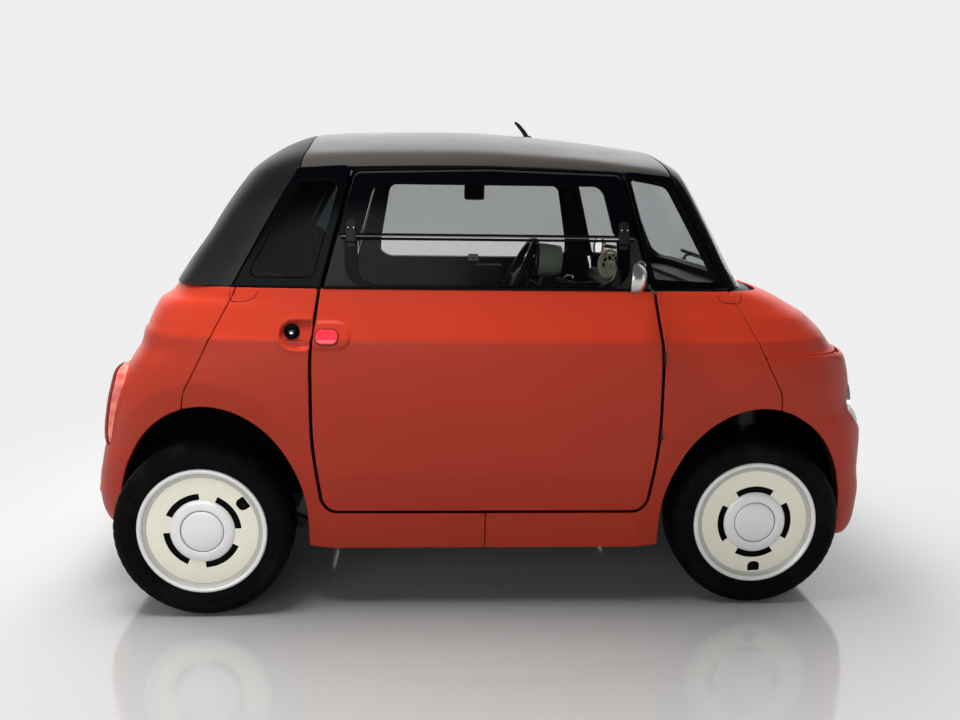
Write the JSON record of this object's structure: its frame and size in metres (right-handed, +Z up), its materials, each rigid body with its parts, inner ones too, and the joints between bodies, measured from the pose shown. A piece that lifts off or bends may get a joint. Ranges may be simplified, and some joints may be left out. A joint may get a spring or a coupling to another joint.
{
  "type": "microcar",
  "caption": "Two-seat microcar with opposed-hinge side doors, flap windows, steered front wheels and an open-plan hollow cabin.",
  "frame": {"origin": "on the ground below the centre of the overall box, at mid wheelbase", "axes": "+X to the car's front, +Y to its left, +Z up"},
  "size_m": [2.5465, 1.5848, 1.5428],
  "materials": {
    "body_paint": "satin coral paint on moulded panels",
    "roof_dark": "satin dark grey",
    "matte_black": "matte moulded",
    "frame_black": "gloss black frame",
    "glass": "light grey tint",
    "interior_dark": "grained moulding",
    "interior_light": "smooth light moulding",
    "seat_fabric": "woven seat cloth",
    "tyre": "moulded rubber",
    "wheel_finish": "cream and silver",
    "steel_dark": "black coated steel",
    "chrome": "bright",
    "lamp_clear": "clear lens",
    "lamp_red": "red lens",
    "aluminium": "cast"
  },
  "bodies": {
    "body": {"nose_panel": "body_paint", "hood": "body_paint", "rear_clip": "body_paint", "side_front_right": "body_paint", "side_front_left": "body_paint", "side_rear_right": "body_paint", "side_rear_left": "body_paint", "roof_panel": "roof_dark", "rear_roof_cap": "matte_black", "pillars_right": "frame_black", "pillars_left": "frame_black", "windscreen": "glass", "rear_window": "glass", "quarter_glasses": "glass", "door_hinges": "steel_dark", "floor_pan": "matte_black", "wheelhouse_liners": "matte_black", "front_bulkhead": "interior_dark", "rear_bulkhead_shelf": "interior_dark", "cowl": "matte_black", "dashboard": "interior_dark", "steering_column": "interior_dark", "instrument_pod": "interior_light", "desk_fan": "interior_light", "seat_cushions": "seat_fabric", "seat_backs": "seat_fabric", "seat_bases": "interior_dark", "drive_motor": "aluminium", "front_subframe": "steel_dark", "rear_axle": "steel_dark", "headlights": "lamp_clear", "tail_lights": "lamp_red", "number_plates": "interior_light", "dome_lamp": "matte_black", "antenna": "matte_black", "mirror_left": "chrome"},
    "door_right": {"door_panel_right": "body_paint", "door_frame_right": "frame_black", "door_glass_right": "glass", "door_fittings_right": "matte_black", "mirror_right": "chrome"},
    "knuckle_right": {"knuckle_right": "steel_dark"},
    "door_left": {"door_panel_left": "body_paint", "door_frame_left": "frame_black", "door_glass_left": "glass", "door_fittings_left": "matte_black"},
    "knuckle_left": {"knuckle_left": "steel_dark"},
    "wheel_front_right": {"tyre_front_right": "tyre", "wheel_front_right": "wheel_finish"},
    "wheel_front_left": {"tyre_front_left": "tyre", "wheel_front_left": "wheel_finish"},
    "wheel_rear_right": {"tyre_rear_right": "tyre", "wheel_rear_right": "wheel_finish"},
    "wheel_rear_left": {"tyre_rear_left": "tyre", "wheel_rear_left": "wheel_finish"},
    "steering_wheel": {"steering_wheel": "interior_dark"}
  },
  "joints": [
    {"name": "door_right_hinge", "type": "hinge", "parent": "body", "child": "door_right", "pos_m": [0.527, -0.7, 0.63], "axis": [0, 0, 1], "range_deg": [0, 70]},
    {"name": "door_left_hinge", "type": "hinge", "parent": "body", "child": "door_left", "pos_m": [-0.527, 0.7, 0.63], "axis": [0, 0, 1], "range_deg": [0, 70]},
    {"name": "steer_right", "type": "hinge", "parent": "body", "child": "knuckle_right", "pos_m": [0.864, -0.5, 0.272], "axis": [0, 0, 1], "range_deg": [-33, 33]},
    {"name": "steer_left", "type": "hinge", "parent": "body", "child": "knuckle_left", "pos_m": [0.864, 0.5, 0.272], "axis": [0, 0, 1], "range_deg": [-33, 33]},
    {"name": "steering_wheel_turn", "type": "hinge", "parent": "body", "child": "steering_wheel", "pos_m": [0.151, 0.3, 0.962], "axis": [-0.8873, 0, 0.4612], "range_deg": [-495, 495]},
    {"name": "spin_front_right", "type": "hinge", "parent": "knuckle_right", "child": "wheel_front_right", "pos_m": [0.864, -0.5475, 0.272], "axis": [0, 1, 0], "continuous": true},
    {"name": "spin_front_left", "type": "hinge", "parent": "knuckle_left", "child": "wheel_front_left", "pos_m": [0.864, 0.5475, 0.272], "axis": [0, 1, 0], "continuous": true},
    {"name": "spin_rear_right", "type": "hinge", "parent": "body", "child": "wheel_rear_right", "pos_m": [-0.864, -0.6125, 0.272], "axis": [0, 1, 0], "continuous": true},
    {"name": "spin_rear_left", "type": "hinge", "parent": "body", "child": "wheel_rear_left", "pos_m": [-0.864, 0.6125, 0.272], "axis": [0, 1, 0], "continuous": true}
  ],
  "couplings": [
    {"joint": "steer_left", "follows": "steer_right", "ratio": 1},
    {"joint": "steering_wheel_turn", "follows": "steer_right", "ratio": 15}
  ]
}
